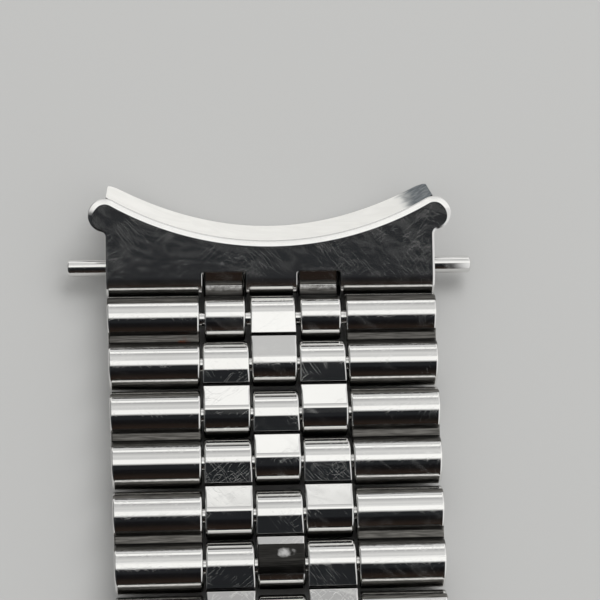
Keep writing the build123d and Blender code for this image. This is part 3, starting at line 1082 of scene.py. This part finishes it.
# The spring bar's tips, each with its head inside the barrel, its shoulder at the cheek and its stub
SHOULDER_START = HALF_WIDTH - SHOULDER_LENGTH
HEAD_END = SHOULDER_START - BARREL_GAP - BARREL_CAP
TIP_PROFILE = [
    (HEAD_END - HEAD_LENGTH, HEAD_RADIUS - 0.09),
    (HEAD_END - HEAD_LENGTH + 0.06, HEAD_RADIUS),
    (HEAD_END - 0.05, HEAD_RADIUS),
    (HEAD_END, HEAD_RADIUS - 0.05),
    (HEAD_END, TIP_RADIUS),
    (SHOULDER_START, TIP_RADIUS),
    (SHOULDER_START, SHOULDER_RADIUS - 0.06),
    (SHOULDER_START + 0.06, SHOULDER_RADIUS),
    (HALF_WIDTH - 0.06, SHOULDER_RADIUS),
    (HALF_WIDTH, SHOULDER_RADIUS - 0.06),
    (HALF_WIDTH, TIP_RADIUS),
    (HALF_WIDTH + TIP_REACH - 0.14, TIP_RADIUS),
    (HALF_WIDTH + TIP_REACH - 0.07, TIP_RADIUS - 0.025),
    (HALF_WIDTH + TIP_REACH - 0.02, TIP_RADIUS - 0.075),
    (HALF_WIDTH + TIP_REACH, TIP_RADIUS - 0.145),
]
for side, side_name in SIDES:
    piece = turned_piece(f"bar_tip_{side_name}", TIP_PROFILE, side)
    dress(piece, f"tip_{side_name}", turned, f"spring_bar_tip_{side_name}")

# The wound spring, in two halves
coil_low, coil_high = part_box("spring_bar_coil")
coil_half = coil_high.x / MM
coil_radius = (coil_high.y - coil_low.y) / 2 / MM - 0.001
for side, side_name in SIDES:
    coil = coil_piece(f"spring_coil_{side_name}", side, coil_half, coil_radius)
    dress(coil, "end_link", turned, "spring_bar_coil")
    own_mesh(coil)

# The CAD nodes that stay visible: the cheeks, the barrel and the pins
for name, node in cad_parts.items():
    if node.hide_render:
        continue
    node.data.materials.clear()
    node.data.materials.append(polished if name.startswith("end_link") else turned)

# Floor
bpy.ops.mesh.primitive_plane_add(size=1.6, location=(0, 0, 0))
floor = bpy.context.object
floor.name = "studio_floor"
floor_paint, _floor_tree, floor_shader = node_kit("floor_paint")
floor_shader.inputs["Base Color"].default_value = (0.47, 0.47, 0.465, 1)
floor_shader.inputs["Roughness"].default_value = 0.9
floor.data.materials.append(floor_paint)

# What the steel mirrors, by the angle in degrees from straight up towards the case: a dark room, then a
# bright ceiling with darker bands
ROOM_TONES = (
    (-95, (0.050, 0.034, 0.026)),
    (-75, (0.024, 0.016, 0.012)),
    (-50, (0.007, 0.006, 0.006)),
    (-36, (0.007, 0.007, 0.008)),
    (-28, (0.017, 0.0185, 0.0205)),
    (-13, (0.017, 0.0185, 0.0205)),
    (-4, (1.12, 1.12, 1.10)),
    (12, (1.12, 1.12, 1.10)),
    (17, (0.70, 0.70, 0.70)),
    (27, (0.78, 0.78, 0.77)),
    (36, (0.60, 0.60, 0.60)),
    (45, (0.45, 0.45, 0.45)),
    (49, (1.14, 1.14, 1.12)),
    (57, (1.14, 1.14, 1.12)),
    (60, (0.45, 0.45, 0.45)),
    (64, (0.80, 0.80, 0.80)),
    (69, (0.76, 0.76, 0.76)),
    (72, (0.03, 0.03, 0.03)),
    (76, (0.03, 0.03, 0.03)),
    (79, (0.36, 0.36, 0.34)),
    (90, (0.27, 0.27, 0.26)),
)
ROOM_TURN = radians(-8)
LEFT_WALL_TONE = (0.05, 0.055, 0.06)
PLAIN_LIGHT = (0.78, 0.78, 0.77)

world = bpy.data.worlds.new("studio")
bpy.context.scene.world = world
world.use_nodes = True
tree = world.node_tree
tree.nodes.clear()
link = tree.links.new
out = add_node(tree, "ShaderNodeOutputWorld")
path = add_node(tree, "ShaderNodeLightPath")
place = add_node(tree, "ShaderNodeTexCoord")
split_way = add_node(tree, "ShaderNodeVectorMath", operation="DOT_PRODUCT")
split_way.inputs[1].default_value = (0, cos(ROOM_TURN), -sin(ROOM_TURN))
link(place.outputs["Generated"], split_way.inputs[0])
ramp = add_node(tree, "ShaderNodeValToRGB")
shift = add_node(tree, "ShaderNodeMapRange")
shift.inputs["From Min"].default_value = -1.0
shift.inputs["From Max"].default_value = 1.0
link(split_way.outputs["Value"], shift.inputs["Value"])
link(shift.outputs["Result"], ramp.inputs["Fac"])
elements = ramp.color_ramp.elements
while len(elements) < len(ROOM_TONES):
    elements.new(0.5)
for element, (angle, colour) in zip(elements, ROOM_TONES):
    element.position = (sin(radians(angle) - ROOM_TURN) + 1) / 2
    element.color = (*colour, 1)
across = add_node(tree, "ShaderNodeSeparateXYZ")
link(place.outputs["Generated"], across.inputs[0])
right_wall = remap(tree, across.outputs["X"], 0.3, 0.5, 0.0, 0.85)
left_wall = remap(tree, across.outputs["X"], -0.35, -0.85, 0.0, 0.8)
brighter = add_node(tree, "ShaderNodeMix", data_type="RGBA", blend_type="LIGHTEN")
brighter.inputs[0].default_value = 1.0
link(ramp.outputs["Color"], brighter.inputs[MIX_A])
link(right_wall, brighter.inputs[MIX_B])
room = mixed(tree, left_wall, brighter.outputs[MIX_RESULT], LEFT_WALL_TONE)
glossy_light = add_node(tree, "ShaderNodeBackground")
link(room, glossy_light.inputs["Color"])
plain_light = add_node(tree, "ShaderNodeBackground")
plain_light.inputs["Color"].default_value = (*PLAIN_LIGHT, 1)
mix = add_node(tree, "ShaderNodeMixShader")
link(path.outputs["Is Glossy Ray"], mix.inputs[0])
link(plain_light.outputs[0], mix.inputs[1])
link(glossy_light.outputs[0], mix.inputs[2])
link(mix.outputs[0], out.inputs["Surface"])

# A soft lamp over the case's side
lamp_data = bpy.data.lights.new("soft_lamp", "AREA")
lamp_data.shape = "RECTANGLE"
lamp_data.size = 0.5
lamp_data.size_y = 0.35
lamp_data.energy = 2.2
lamp = bpy.data.objects.new("soft_lamp", lamp_data)
bpy.context.scene.collection.objects.link(lamp)
lamp.location = (0.22, 0.35, 0.5)
lamp.rotation_euler = (-lamp.location).to_track_quat("-Z", "Y").to_euler()
lamp.visible_glossy = False

# The photograph's camera: its place in millimetres, its turns in degrees, and its focal length in pixels
CAMERA_PLACE = (-5.1141, -30.582, 92.3026)
CAMERA_PITCH, CAMERA_ROLL, CAMERA_YAW = 22.8549, -2.4018, -4.3114
CAMERA_FOCUS = 1624.5277
PHOTO_WIDTH = 600
camera_data = bpy.data.cameras.new("photo_camera")
camera_data.sensor_width = 36
camera_data.lens = CAMERA_FOCUS / PHOTO_WIDTH * camera_data.sensor_width
camera_data.clip_start = 0.005
camera = bpy.data.objects.new("photo_camera", camera_data)
bpy.context.scene.collection.objects.link(camera)
camera.matrix_world = (
    Matrix.Translation(Vector(CAMERA_PLACE) * MM)
    @ Matrix.Rotation(radians(CAMERA_YAW), 4, "Y")
    @ Matrix.Rotation(radians(CAMERA_PITCH), 4, "X")
    @ Matrix.Rotation(radians(CAMERA_ROLL), 4, "Z")
)
bpy.context.scene.camera = camera
bpy.context.scene.view_settings.view_transform = "Standard"
